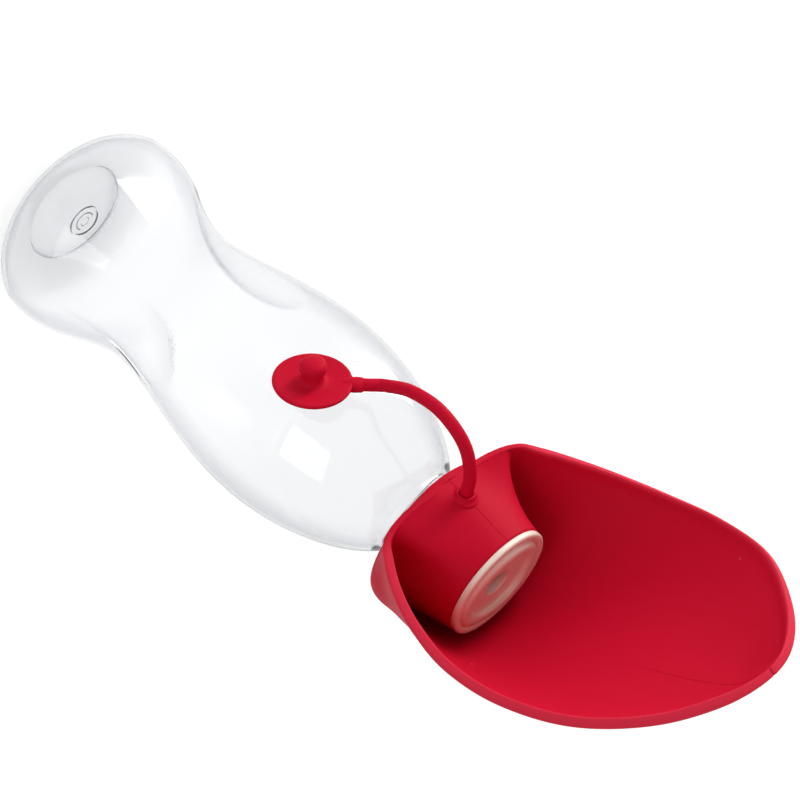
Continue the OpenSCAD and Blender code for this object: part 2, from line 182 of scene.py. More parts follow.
def turn_of(p: Vector) -> float:
    """Return a point's angle round the axis in degrees, from 0 in front."""
    return math.degrees(math.atan2(p.x, -p.y))


# --------------------------------------------------------------------- meshes


def show(piece: bpy.types.Object) -> bpy.types.Object:
    """Put an object in the scene and return it."""
    bpy.context.scene.collection.objects.link(piece)
    return piece


@dataclass
class Shell:
    """Collects the vertices and faces of one mesh, in millimetres."""

    vertices: list[Vector] = field(default_factory=list)
    faces: list[tuple[int, ...]] = field(default_factory=list)

    def row(self, points: list[Vector]) -> list[int]:
        """Add a row of points and return their numbers."""
        first = len(self.vertices)
        self.vertices.extend(points)
        return list(range(first, first + len(points)))

    def join(self, a: list[int], b: list[int], closed: bool = True) -> None:
        """Join two rows with a band of four-sided faces.

        Args:
            a: The first row.
            b: The second row, as long as the first.
            closed: Whether the band runs all the way round.
        """
        n = len(a)
        for i in range(n if closed else n - 1):
            j = (i + 1) % n
            self.faces.append((a[i], a[j], b[j], b[i]))

    def join_rows(self, rows: list[list[int]], closed: bool = True) -> None:
        """Join each row to the next."""
        for a, b in zip(rows, rows[1:]):
            self.join(a, b, closed)

    def close(self, ring: list[int], middle: Vector, flip: bool = False) -> None:
        """Close a ring with a fan of faces round a middle point.

        Args:
            ring: The numbers of the ring's points.
            middle: The middle point.
            flip: Whether the faces look the other way.
        """
        centre = self.row([middle])[0]
        n = len(ring)
        for i in range(n):
            a, b = ring[i], ring[(i + 1) % n]
            self.faces.append((b, a, centre) if flip else (a, b, centre))

    def make(self, name: str, crease: float = 35.0) -> bpy.types.Object:
        """Make an object of the mesh.

        Args:
            name: The object's name.
            crease: The angle in degrees above which an edge stays sharp.

        Returns:
            The new object.
        """
        mesh = bpy.data.meshes.new(name)
        mesh.from_pydata([tuple(v * MM) for v in self.vertices], [], self.faces)
        mesh.validate()
        mesh.shade_smooth()
        mesh.set_sharp_from_angle(angle=math.radians(crease))
        return show(bpy.data.objects.new(name, mesh))


def ring(radius: float, z: float, count: int) -> list[Vector]:
    """Return the points of a level ring round the bottle's axis.

    Args:
        radius: The ring's radius.
        z: Its height.
        count: The number of points.

    Returns:
        The points.
    """
    step = 2 * math.pi / count
    return [
        Vector((radius * math.cos(i * step), radius * math.sin(i * step), z))
        for i in range(count)
    ]


def turned(
    name: str, profile: Profile, place: Matrix, count: int = 96,
    loop: bool = False, crease: float = 35.0,
) -> bpy.types.Object:
    """Make a turned piece from half of its section.

    Args:
        name: The object's name.
        profile: Radius and height of each point, from the bottom up on the outside.
        place: Where the piece's own axis stands.
        count: The points round the axis.
        loop: Whether the profile closes on itself, as round a hole.
        crease: The angle in degrees above which an edge stays sharp.

    Returns:
        The new object.
    """
    shell = Shell()
    body = profile if loop else profile[1:-1]
    rows = [shell.row([place @ p for p in ring(r, z, count)]) for r, z in body]
    shell.join_rows(rows)
    if loop:
        shell.join(rows[-1], rows[0])
    else:
        shell.close(rows[0], place @ Vector((0, 0, profile[0][1])), flip=True)
        shell.close(rows[-1], place @ Vector((0, 0, profile[-1][1])))
    return shell.make(name, crease)


def tube(
    name: str, points: list[Vector], radii: list[float], count: int = 20, cross: Point = (1, 0, 0)
) -> bpy.types.Object:
    """Make a round tube along a line of points, with rounded ends.

    Args:
        name: The object's name.
        points: The middle line.
        radii: The radius at each point.
        count: The points round the tube.
        cross: A direction that the tube never runs along.

    Returns:
        The new object.
    """
    shell = Shell()
    rows = []
    last = len(points) - 1
    for i, p in enumerate(points):
        run = (points[min(i + 1, last)] - points[max(i - 1, 0)]).normalized()
        side = run.cross(Vector(cross)).normalized()
        up = run.cross(side)
        rows.append(shell.row([
            p + radii[i] * (math.cos(a) * side + math.sin(a) * up)
            for a in (2 * math.pi * k / count for k in range(count))
        ]))
    shell.join_rows(rows)
    shell.close(rows[0], points[0], flip=True)
    shell.close(rows[-1], points[-1])
    return shell.make(name)


# ------------------------------------------------------------------- finishes


class Graph:
    """Adds and links the nodes of one material or group."""

    def __init__(self, tree: bpy.types.NodeTree) -> None:
        """Keep the tree that nodes are added to."""
        self.tree = tree

    def add(self, kind: str, sockets: dict | None = None, **settings: object) -> bpy.types.Node:
        """Add a node.

        Args:
            kind: The node's type.
            sockets: Values or links for its inputs, by name or number.
            settings: Values for the node's own properties.

        Returns:
            The new node.
        """
        node = self.tree.nodes.new(kind)
        for key, value in settings.items():
            setattr(node, key, value)
        self.feed(node, sockets or {})
        return node

    def feed(self, node: bpy.types.Node, sockets: dict) -> None:
        """Link or set a node's inputs, by name or number.

        Args:
            node: The node.
            sockets: Its inputs, each with a value or with the socket that feeds it.
        """
        for key, value in sockets.items():
            if isinstance(value, bpy.types.NodeSocket):
                self.tree.links.new(value, node.inputs[key])
            else:
                node.inputs[key].default_value = value

    def maths(self, operation: str, a: object, b: object = 0.0) -> bpy.types.NodeSocket:
        """Add a sum of two values and return its result."""
        return self.add("ShaderNodeMath", {0: a, 1: b}, operation=operation).outputs[0]

    def blend(self, factor: object, a: object, b: object) -> bpy.types.NodeSocket:
        """Add a mix of two colours and return its result."""
        node = self.add("ShaderNodeMix", {0: factor, 6: a, 7: b}, data_type="RGBA")
        return node.outputs[2]

    def band(self, value: object, low: float, high: float, to: tuple[float, float] = (0, 1)
             ) -> bpy.types.NodeSocket:
        """Add a clamped ramp of a value and return its result.

        Args:
            value: The value that is ramped.
            low: Where the ramp starts.
            high: Where the ramp ends.
            to: What the ramp gives at its two ends.

        Returns:
            The ramp's result.
        """
        node = self.add("ShaderNodeMapRange", {
            "Value": value, "From Min": low, "From Max": high, "To Min": to[0], "To Max": to[1],
        })
        return node.outputs["Result"]


def new_material(name: str) -> tuple[bpy.types.Material, Graph, bpy.types.Node]:
    """Start a material and return it with its graph and its shader.

    Args:
        name: The material's name.

    Returns:
        The material, its graph and its shader node.
    """
    made = bpy.data.materials.new(name)
    made.use_nodes = True
    return made, Graph(made.node_tree), made.node_tree.nodes["Principled BSDF"]


def new_group(name: str, inputs: dict[str, object], outputs: dict[str, str]) -> tuple:
    """Start a shader node group.

    Args:
        name: The group's name.
        inputs: Default value of each input; four numbers make a colour.
        outputs: Kind of each output.

    Returns:
        The group's graph, its input node and its output node.
    """
    tree = bpy.data.node_groups.new(name, "ShaderNodeTree")
    for key, value in inputs.items():
        kind = "NodeSocketColor" if isinstance(value, tuple) else "NodeSocketFloat"
        tree.interface.new_socket(key, in_out="INPUT", socket_type=kind).default_value = value
    for key, kind in outputs.items():
        tree.interface.new_socket(key, in_out="OUTPUT", socket_type=kind)
    graph = Graph(tree)
    return graph, graph.add("NodeGroupInput"), graph.add("NodeGroupOutput")


def grain_group() -> bpy.types.NodeTree:
    """Make the group for the fine grain and faint cloudiness of moulded surfaces."""
    g, source, out = new_group(
        "moulded_grain",
        {"Color": (0.5, 0.5, 0.5, 1.0), "Cloud": 0.06, "Cloud Scale": 60.0, "Grain Scale": 2500.0,
         "Roughness": 0.4, "Spread": 0.08},
        {"Color": "NodeSocketColor", "Roughness": "NodeSocketFloat", "Height": "NodeSocketFloat"},
    )
    place = g.add("ShaderNodeTexCoord").outputs["Object"]
    cloud = g.add("ShaderNodeTexNoise", {
        "Vector": place, "Scale": source.outputs["Cloud Scale"], "Detail": 4.0, "Roughness": 0.6,
    }).outputs["Fac"]
    grain = g.add("ShaderNodeTexNoise", {
        "Vector": place, "Scale": source.outputs["Grain Scale"], "Detail": 2.0, "Roughness": 0.5,
    }).outputs["Fac"]
    swing = g.maths("MULTIPLY", g.maths("SUBTRACT", cloud, 0.5), source.outputs["Cloud"])
    fine = g.maths("MULTIPLY", g.maths("SUBTRACT", grain, 0.5), source.outputs["Cloud"])
    level = g.maths("ADD", 1.0, g.maths("ADD", g.maths("MULTIPLY", swing, 2.0), fine))
    colour = g.add("ShaderNodeVectorMath", {0: source.outputs["Color"], "Scale": level},
                   operation="SCALE").outputs[0]
    rough = g.maths("ADD", source.outputs["Roughness"], g.maths(
        "MULTIPLY", g.maths("SUBTRACT", cloud, 0.5), source.outputs["Spread"]))
    g.feed(out, {"Color": colour, "Roughness": rough, "Height": grain})
    return g.tree


def specks_group() -> bpy.types.NodeTree:
    """Make the group for the few fine specks of dust and lint on a soft surface."""
    g, source, out = new_group(
        "fine_specks", {"Scale": 220.0, "Share": 0.06}, {"Mask": "NodeSocketFloat"},
    )
    place = g.add("ShaderNodeTexCoord").outputs["Object"]
    cells = g.add("ShaderNodeTexVoronoi", {"Vector": place, "Scale": source.outputs["Scale"],
                                           "Randomness": 1.0})
    pick = g.add("ShaderNodeSeparateColor", {"Color": cells.outputs["Color"]}).outputs["Red"]
    chosen = g.maths("LESS_THAN", pick, source.outputs["Share"])
    near = g.band(cells.outputs["Distance"], 0.10, 0.03)
    g.feed(out, {"Mask": g.maths("MULTIPLY", chosen, near)})
    return g.tree


def ripple_group() -> bpy.types.NodeTree:
    """Make the group for the soft waves and hairlines in blown clear plastic."""
    g, source, out = new_group(
        "blown_ripple", {"Wave Scale": 26.0, "Hairline": 0.04}, {"Height": "NodeSocketFloat"},
    )
    place = g.add("ShaderNodeTexCoord").outputs["Object"]
    stretched = g.add("ShaderNodeMapping", {"Vector": place, "Scale": (1.0, 1.0, 0.35)})
    wave = g.add("ShaderNodeTexNoise", {
        "Vector": stretched.outputs[0], "Scale": source.outputs["Wave Scale"], "Detail": 1.5,
    }).outputs["Fac"]
    long = g.add("ShaderNodeMapping", {"Vector": place, "Scale": (1.0, 1.0, 0.03)})
    hair = g.add("ShaderNodeTexNoise", {
        "Vector": long.outputs[0], "Scale": 900.0, "Detail": 1.0,
    }).outputs["Fac"]
    total = g.maths("ADD", wave, g.maths("MULTIPLY", hair, source.outputs["Hairline"]))
    g.feed(out, {"Height": total})
    return g.tree


@dataclass
class Groups:
    """The node groups that several finishes share."""

    grain: bpy.types.NodeTree
    specks: bpy.types.NodeTree
    ripple: bpy.types.NodeTree


def place_group(graph: Graph, tree: bpy.types.NodeTree, values: dict) -> bpy.types.Node:
    """Place a shared group in a material with its own values."""
    return graph.add("ShaderNodeGroup", values, node_tree=tree)


@dataclass(frozen=True)
class Moulded:
    """A moulded plastic or rubber finish."""

    name: str
    colour: Colour
    roughness: float
    spread: float = 0.08
    cloud: float = 0.05
    cloud_scale: float = 60.0
    grain_scale: float = 2500.0
    bump: float = 0.06
    depth: float = 0.00004
    specular: float = 0.5
    index: float = 1.5
    subsurface: float = 0.0
    depth_glow: Point = (0.004, 0.0012, 0.001)
    dust: float = 0.0
    dust_strength: float = 0.35
    dust_colour: Colour = (0.8, 0.72, 0.7, 1.0)
    lip_highlight_colour: Colour | None = None

    def material(self, groups: Groups) -> bpy.types.Material:
        """Make the material.

        Args:
            groups: The shared node groups.

        Returns:
            The new material.
        """
        made, g, shader = new_material(self.name)
        grain = place_group(g, groups.grain, {
            "Color": self.colour, "Cloud": self.cloud, "Cloud Scale": self.cloud_scale,
            "Grain Scale": self.grain_scale, "Roughness": self.roughness, "Spread": self.spread,
        })
        colour = grain.outputs["Color"]
        if self.dust:
            specks = place_group(g, groups.specks, {"Share": self.dust})
            share = g.maths("MULTIPLY", specks.outputs["Mask"], self.dust_strength)
            colour = g.blend(share, colour, self.dust_colour)
        # Painted highlight: along the marked lip the base colour turns paler, standing in for the
        # sheen that light catches on the rim.
        if self.lip_highlight_colour:
            lip = g.add("ShaderNodeAttribute", attribute_name=LIP_HIGHLIGHT_MARK).outputs["Fac"]
            colour = g.blend(lip, colour, self.lip_highlight_colour)
        normal = g.add("ShaderNodeBump", {
            "Strength": self.bump, "Distance": self.depth, "Height": grain.outputs["Height"],
        }).outputs["Normal"]
        g.feed(shader, {
            "Base Color": colour, "Roughness": grain.outputs["Roughness"], "Normal": normal,
            "Specular IOR Level": self.specular, "IOR": self.index,
            "Subsurface Weight": self.subsurface, "Subsurface Radius": self.depth_glow,
            "Subsurface Scale": 1.0,
        })
        return made


@dataclass(frozen=True)
class ClearPlastic:
    """The clear, slightly flexible plastic of the bottle."""

    name: str = "clear_squeeze_plastic"
    tint: Colour = (0.935, 0.942, 0.949, 1.0)
    # Painted shade: the base colour greys towards glancing edges, standing in for the dark
    # refractions seen at the bottle's edges.
    painted_edge_shade: Colour = (0.50, 0.52, 0.55, 1.0)
    depth_tint: Colour = (0.79, 0.80, 0.82, 1.0)
    density: float = 90.0
    index: float = 1.46
    roughness: float = 0.015
    edge_shade_band: tuple[float, float] = (0.42, 0.90)
    wave_scale: float = 26.0
    hairline: float = 0.03
    bump: float = 0.25
    bump_depth: float = 0.0006

    def material(self, groups: Groups) -> bpy.types.Material:
        """Make the material.

        Args:
            groups: The shared node groups.

        Returns:
            The new material.
        """
        made, g, shader = new_material(self.name)
        # Painted edge shade: the colour goes grey where the surface is seen at a glancing angle.
        facing = g.add("ShaderNodeLayerWeight", {"Blend": 0.5}).outputs["Facing"]
        colour = g.blend(g.band(facing, *self.edge_shade_band), self.tint, self.painted_edge_shade)
        ripple = place_group(g, groups.ripple, {
            "Wave Scale": self.wave_scale, "Hairline": self.hairline})
        normal = g.add("ShaderNodeBump", {
            "Strength": self.bump, "Distance": self.bump_depth,
            "Height": ripple.outputs["Height"],
        }).outputs["Normal"]
        g.feed(shader, {
            "Base Color": colour, "Normal": normal, "Roughness": self.roughness,
            "IOR": self.index, "Transmission Weight": 1.0,
        })
        depth = g.add("ShaderNodeVolumeAbsorption", {
            "Color": self.depth_tint, "Density": self.density})
        g.feed(made.node_tree.nodes["Material Output"], {"Volume": depth.outputs["Volume"]})
        return made


@dataclass
class Finishes:
    """The object's materials, one for each slot."""

    groups: Groups
    made: dict[Slot, bpy.types.Material] = field(default_factory=dict)

    def build(self) -> None:
        """Make every material."""
        finishes = {
            Slot.CLEAR: ClearPlastic(),
            # The silicone's lip colour is a painted highlight along the bowl's rim.
            Slot.SILICONE: Moulded(
                "red_silicone_satin", (0.56, 0.004, 0.026, 1.0), 0.54, bump=0.10, index=1.13,
                subsurface=0.04, dust=0.03, lip_highlight_colour=(0.76, 0.04, 0.08, 1.0)),
            Slot.CAP: Moulded(
                "cream_cap_plastic", (0.90, 0.76, 0.65, 1.0), 0.34, cloud=0.04, bump=0.05,
                subsurface=0.10, dust=0.02, dust_colour=(0.45, 0.33, 0.27, 1.0)),
            Slot.GASKET: Moulded(
                "sealing_rubber", (0.62, 0.58, 0.50, 1.0), 0.55, cloud=0.06, bump=0.12),
            Slot.VALVE: Moulded(
                "valve_rubber", (0.72, 0.44, 0.37, 1.0), 0.42, subsurface=0.2),
        }
        self.made = {slot: finish.material(self.groups) for slot, finish in finishes.items()}

    def put(self, piece: bpy.types.Object, slot: Slot) -> None:
        """Give a piece the finish of a slot.

        Args:
            piece: The piece to dress.
            slot: The slot whose finish it takes.
        """
        piece.data.materials.clear()
        piece.data.materials.append(self.made[slot])

    def keep(self, node: bpy.types.Object, slot: Slot) -> None:
        """Give a kept solid the finish of a slot."""
        for holder in node.material_slots:
            holder.material = self.made[slot]


# --------------------------------------------------------------------- bottle


@dataclass
class Bottle:
    """The clear squeeze bottle with its waist, scoops, punt and threaded neck."""

    base_ring_r: float = 20.4
    foot_w: float = 1.6
    bulge: tuple[float, float] = (37.0, 13.0)
    waist: tuple[float, float] = (26.4, 54.0)
    belly: tuple[float, float] = (34.4, 112.0)
    shoulder_z: float = 166.0
    wall: float = 1.2
    punt_h: float = 6.2
    nub_r: float = 3.4
    scoop_r: float = 45.0
    scoop_turn: float = 17.0
    scoop_z: float = 58.0
    scoop_depth: float = 4.0
    neck_r: float = 14.5
    bore_r: float = 12.5
    neck_top_z: float = 193.5
    ring_r: float = 17.2
    ring_z: tuple[float, float] = (169.5, 170.9)
    thread_depth: float = 1.1
    thread_pitch: float = 4.0
    thread_turns: float = 1.5
    thread_z: float = 182.5
    thread_run_in: tuple[float, float] = (1.2, 0.8)
    scoop_span: tuple[float, float] = (20.0, 100.0)
    scoop_soft: float = 0.7
    neck_start: float = 1.6
    floor_share: float = 1.3
    count: int = 168
    levels: int = 104
    base_levels: int = 14
    bulge_levels: int = 20

    def lathe_r(self, z: float) -> float:
        """Return the outer radius at a height, without the scoops.

        Args:
            z: The height.

        Returns:
            The radius.
        """
        (bulge_r, bulge_z), (waist_r, waist_z) = self.bulge, self.waist
        belly_r, belly_z = self.belly
        if z < bulge_z:
            share = (bulge_z - z) / bulge_z
            return self.base_ring_r + (bulge_r - self.base_ring_r) * math.sqrt(
                max(0.0, 1 - share * share))
        if z < waist_z:
            t = (z - bulge_z) / (waist_z - bulge_z)
            return mix(bulge_r, waist_r, (1 - math.cos(math.pi * t)) / 2)
        if z < belly_z:
            t = ((z - waist_z) / (belly_z - waist_z)) ** 0.85
            return mix(waist_r, belly_r, (1 - math.cos(math.pi * t)) / 2)
        share = min(1.0, (z - belly_z) / (self.shoulder_z - belly_z))
        return self.neck_r + (belly_r - self.neck_r) * max(0.0, 1 - share * share) ** 0.75

    def scoop_reach(self, angle: float, z: float, grow: float) -> float:
        """Return how far out the plastic may reach before a scoop cuts it.

        Args:
            angle: The angle round the bottle, in radians.
            z: The height.
            grow: How much larger the cutting ball is than the scoop.

        Returns:
            The radius at which the nearer scoop starts.
        """
        radius = self.scoop_r + grow
        middle = self.waist[0] - self.scoop_depth + self.scoop_r
        reach = 1e3
        for centre in (-self.scoop_turn, 180 + self.scoop_turn):
            off = angle - math.radians(centre)
            inside = radius ** 2 - (z - self.scoop_z) ** 2 - (middle * math.sin(off)) ** 2
            if math.cos(off) > 0 and inside > 0:
                reach = min(reach, middle * math.cos(off) - math.sqrt(inside))
        return reach

    def thread_height(self, angle: float, z: float) -> float:
        """Return the thread's height over the neck at an angle and a height.

        Args:
            angle: The angle round the neck, in radians.
            z: The height.

        Returns:
            How far the thread stands out.
        """
        best = 0.0
        run = 360 * self.thread_turns
        for turn in range(int(self.thread_turns) + 2):
            a = math.degrees(angle) % 360 + 360 * turn
            if a > run:
                continue
            off = abs(z - self.thread_z - self.thread_pitch * a / 360)
            fade = min(1.0, min(a, run - a) / 30 + 0.05)
            flank = clamp((0.68 - off) / 0.41)
            best = max(best, self.thread_depth * fade * flank)
        return best

    def punt_z(self, r: float) -> float:
        """Return the height of the hollow base at a radius."""
        return self.punt_h * (1 - (r / self.foot_in) ** 4)

    @property
    def foot_in(self) -> float:
        """Return the inner radius of the ring that the bottle stands on."""
        return self.base_ring_r - self.foot_w

    @property
    def thread_span(self) -> tuple[float, float]:
        """Return the heights between which the thread runs, with its ends."""
        below, above = self.thread_run_in
        return self.thread_z - below, self.neck_top_z - above

    def bulge_z_at(self, level: int, floor: float = 0.0) -> float:
        """Return the height of a level below the bulge, closer together near the base.

        Args:
            level: The number of the level, from the base up.
            floor: The height of the lowest one.

        Returns:
            The height.
        """
        share = 1 - math.cos(math.radians(90 * level / self.bulge_levels))
        return floor + (self.bulge[1] - floor) * share

    def base_rows(self) -> Profile:
        """Return the outside of the base, from its middle to the standing ring."""
        nub, edge = self.nub_r, self.foot_in
        rows = [(0.5, 0.15), (nub * 0.45, 0.10), (nub * 0.55, -0.40), (nub * 0.95, -0.42),
                (nub * 1.02, -0.12), (nub * 1.12, 0.0), (nub * 1.55, 0.0), (nub * 1.6, -0.14),
                (nub * 1.72, -0.14), (nub * 1.77, 0.0)]
        last = self.base_levels
        rows += [(mix(nub * 1.77, edge - 0.5, i / last), 0.0) for i in range(1, last + 1)]
        made = [(r, self.punt_z(r) + rise) for r, rise in rows]
        return made + [(edge - 0.15, 0.28), (edge + 0.15, 0.06), (edge + 0.5, 0.0)]

    def outer_rows(self) -> Profile:
        """Return the outside of the body, from the standing ring to the neck."""
        heights = [self.bulge_z_at(i) for i in range(self.bulge_levels)]
        top = self.shoulder_z - self.neck_start
        heights += [mix(self.bulge[1], top, i / self.levels) for i in range(1, self.levels + 1)]
        return [(self.lathe_r(z), z) for z in heights]

    def neck_rows(self) -> Profile:
        """Return the outside of the neck, from the shoulder to its top edge."""
        r, (low, high), top = self.neck_r, self.ring_z, self.neck_top_z
        begin, end = self.thread_span
        foot = self.shoulder_z - self.neck_start
        start = self.lathe_r(foot)
        rows = [(mix(start, r, t), foot + 2.0 * t ** 1.6) for t in (0.3, 0.6, 0.85, 1.0)]
        rows += [(r, low - 0.6), (r + 0.3, low - 0.1), (self.ring_r - 0.4, low),
                 (self.ring_r, low + 0.35), (self.ring_r, high - 0.35), (self.ring_r - 0.4, high),
                 (r + 0.3, high + 0.1), (r, high + 0.6)]
        for z, stop, step in ((high + 1.6, begin, 1.5), (begin + 0.1, end, 0.25)):
            while z < stop:
                rows.append((r, z))
                z += step
        return rows + [(r, top - 0.4), (r - 0.12, top - 0.12), (r - 0.4, top)]

    def inner_r(self, z: float) -> float:
        """Return the inner radius at a height, one wall inside the outside."""
        slope = self.lathe_r(z + 0.25) - self.lathe_r(z - 0.25)
        return max(self.bore_r, self.lathe_r(z) - self.wall * math.sqrt(1 + 4 * slope * slope))

    def inner_rows(self) -> Profile:
        """Return the inside, from the top edge down to the middle of the floor."""
        bore, top = self.bore_r, self.neck_top_z
        rows = [(bore + 0.35, top), (bore + 0.1, top - 0.1), (bore, top - 0.4)]
        z = top - 4
        while z > self.shoulder_z + 1:
            rows.append((bore, z))
            z -= 3
        floor_t = self.wall * self.floor_share
        heights = [mix(self.shoulder_z - 0.6, self.bulge[1], i / self.levels)
                   for i in range(self.levels + 1)]
        heights += [self.bulge_z_at(i, floor_t) for i in range(self.bulge_levels - 1, 3, -1)]
        rows += [(self.inner_r(z), z) for z in heights]
        reaches = [mix(self.foot_in, 0.5, i / self.base_levels)
                   for i in range(self.base_levels + 1)]
        return rows + [(r, self.punt_z(r) + floor_t) for r in reaches]

    def level(self, r: float, z: float, grow: float, threaded: bool) -> list[Vector]:
        """Return the points of one level of the bottle, with its scoops and its thread.

        Args:
            r: The radius at that height.
            z: The height.
            grow: How much larger the ball that cuts a scoop is here.
            threaded: Whether the thread may stand out here.

        Returns:
            The points round the axis.
        """
        low, high = self.scoop_span
        begin, end = self.thread_span
        points = []
        for i in range(self.count):
            a = 2 * math.pi / self.count * i
            reach = r
            if low < z < high:
                reach = smooth_min(r, self.scoop_reach(a, z, grow), self.scoop_soft)
            if threaded and begin < z < end:
                reach += self.thread_height(a, z)
            points.append(Vector((reach * math.cos(a), reach * math.sin(a), z)))
        return points

    def build(self, finishes: Finishes) -> bpy.types.Object:
        """Make the bottle and put it on its body.

        Args:
            finishes: The object's materials.

        Returns:
            The bottle.
        """
        shell = Shell()
        base, neck, inner = self.base_rows(), self.neck_rows(), self.inner_rows()
        outside = base + self.outer_rows() + neck
        threaded = len(outside) - len(neck)
        rows = [shell.row(self.level(r, z, 0.0, k >= threaded))
                for k, (r, z) in enumerate(outside)]
        rows += [shell.row(self.level(r, z, self.wall, False)) for r, z in inner]
        shell.join_rows(rows)
        shell.close(rows[0], Vector((0, 0, base[0][1])), flip=True)
        shell.close(rows[-1], Vector((0, 0, inner[-1][1])))
        piece = shell.make("clear_bottle", crease=50)
        finishes.put(piece, Slot.CLEAR)
        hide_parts("bottle", "bottle_neck")
        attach(piece, Body.BOTTLE.value)
        return piece


# ------------------------------------------------------------------------ cap


@dataclass
class Cap:
    """The screw cap with its wavy bead, and the small parts inside it."""

    foot_z: float = 171.5
    radius: float = 17.6
    bore_r: float = 15.9
    seat_z: float = 194.5
    face_z: float = 201.7
    flange_r: float = 19.2
    flange_t: float = 2.0
    recess_r: float = 11.8
    recess_depth: float = 1.0
    bead_h: float = 0.9
    outlet_r: float = 4.5
    front_wall: float = 3.0
    wave_turn: float = 165.0
    wave_out: float = 0.75
    wave_up: float = 0.32
    ripple_out: float = 0.15
    ripple_up: float = 0.4
    boss_r: float = 11.4
    boss_h: float = 7.0
    chamber_r: float = 8.6
    valve_r: float = 9.65
    count: int = 144

    def profile(self) -> list[Point]:
        """Return the section: radius, height, and how far each point takes part in the wave."""
        face, recess = self.face_z, self.face_z - self.recess_depth
        back, boss_z = recess - self.front_wall, self.seat_z - self.boss_h
        flange_z, valve_z = face - self.flange_t, self.seat_z - 0.5
        outlet, r, bore, foot = self.outlet_r, self.radius, self.bore_r, self.foot_z
        boss, valve, seat, out = self.boss_r, self.valve_r, self.seat_z, self.flange_r
        bead_in, bead_out = self.recess_r + 0.1, out - 3.2
        front = [
            (outlet, back, 0), (outlet, recess - 0.5, 0), (outlet + 0.15, recess - 0.15, 0),
            (outlet + 0.5, recess, 0), (outlet + 2.4, recess, 0), (self.recess_r - 1.2, recess, 0),
            (self.recess_r - 0.35, recess + 0.05, 0), (self.recess_r - 0.08, recess + 0.3, 0.1),
        ]
        bead = [(r, face + self.bead_h * rise, share) for r, rise, share in (
            (bead_in, 0.35, 0.6), (bead_in + 0.25, 0.8, 1), (bead_in + 0.75, 1.0, 1),
            (mix(bead_in, bead_out, 0.5), 1.0, 1), (bead_out - 1.0, 0.85, 1),
            (bead_out - 0.5, 0.5, 0.8))]
        flange = [
            (bead_out - 0.15, face - 0.2, 0.5), (bead_out + 0.1, face - 0.6, 0.2),
            (bead_out + 0.45, face - 0.7, 0.1), (bead_out + 0.85, face - 0.45, 0.05),
            (bead_out + 1.1, face - 0.08, 0), (bead_out + 1.5, face, 0), (out - 0.9, face, 0),
            (out - 0.35, face - 0.12, 0), (out - 0.08, face - 0.4, 0), (out, face - 0.8, 0),
            (out, flange_z + 0.3, 0), (out - 0.1, flange_z + 0.08, 0), (out - 0.35, flange_z, 0),
        ]
        skirt = [
            (r + 0.2, flange_z, 0), (r, flange_z - 0.3, 0), (r, foot + 0.5, 0),
            (r - 0.15, foot + 0.12, 0), (r - 0.5, foot, 0), (bore + 0.5, foot, 0),
            (bore + 0.1, foot + 0.2, 0), (bore, foot + 0.6, 0), (bore, seat - 0.3, 0),
            (bore - 0.3, seat, 0),
        ]
        inside = [
            (boss + 0.3, seat, 0), (boss, seat - 0.3, 0), (boss, boss_z + 0.4, 0),
            (boss - 0.4, boss_z, 0), (valve + 0.4, boss_z, 0), (valve, boss_z + 0.4, 0),
            (valve, valve_z, 0), (self.chamber_r, valve_z, 0), (self.chamber_r, back, 0),
        ]
        return front + bead + flange + skirt + inside

    def build(self, finishes: Finishes, nodes: dict) -> bpy.types.Object:
        """Make the cap, and dress the parts inside it.

        Args:
            finishes: The object's materials.
            nodes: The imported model's solids, by name.

        Returns:
            The cap.
        """
        shell = Shell()
        rows = []
        step = 2 * math.pi / self.count
        for r, z, share in self.profile():
            points = []
            for i in range(self.count):
                a = i * step
                wave = math.cos(2 * (a + math.radians(self.wave_turn)))
                reach = r + share * (self.wave_out * wave + self.ripple_out * math.sin(
                    3 * a - 0.5))
                lift = share * self.wave_up * (self.ripple_up * math.sin(3 * a + 1.1) - wave - 1)
                points.append(Vector((reach * math.cos(a), reach * math.sin(a), z + lift)))
            rows.append(shell.row(points))
        shell.join_rows(rows)
        shell.join(rows[-1], rows[0])
        piece = shell.make("screw_cap_body", crease=50)
        finishes.put(piece, Slot.CAP)
        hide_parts("screw_cap")
        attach(piece, Body.CAP.value)
        finishes.keep(nodes["neck_gasket"], Slot.GASKET)
        finishes.keep(nodes["valve_retainer"], Slot.CAP)
        finishes.keep(nodes["flow_valve"], Slot.VALVE)
        return piece


# ----------------------------------------------------------------------- bowl


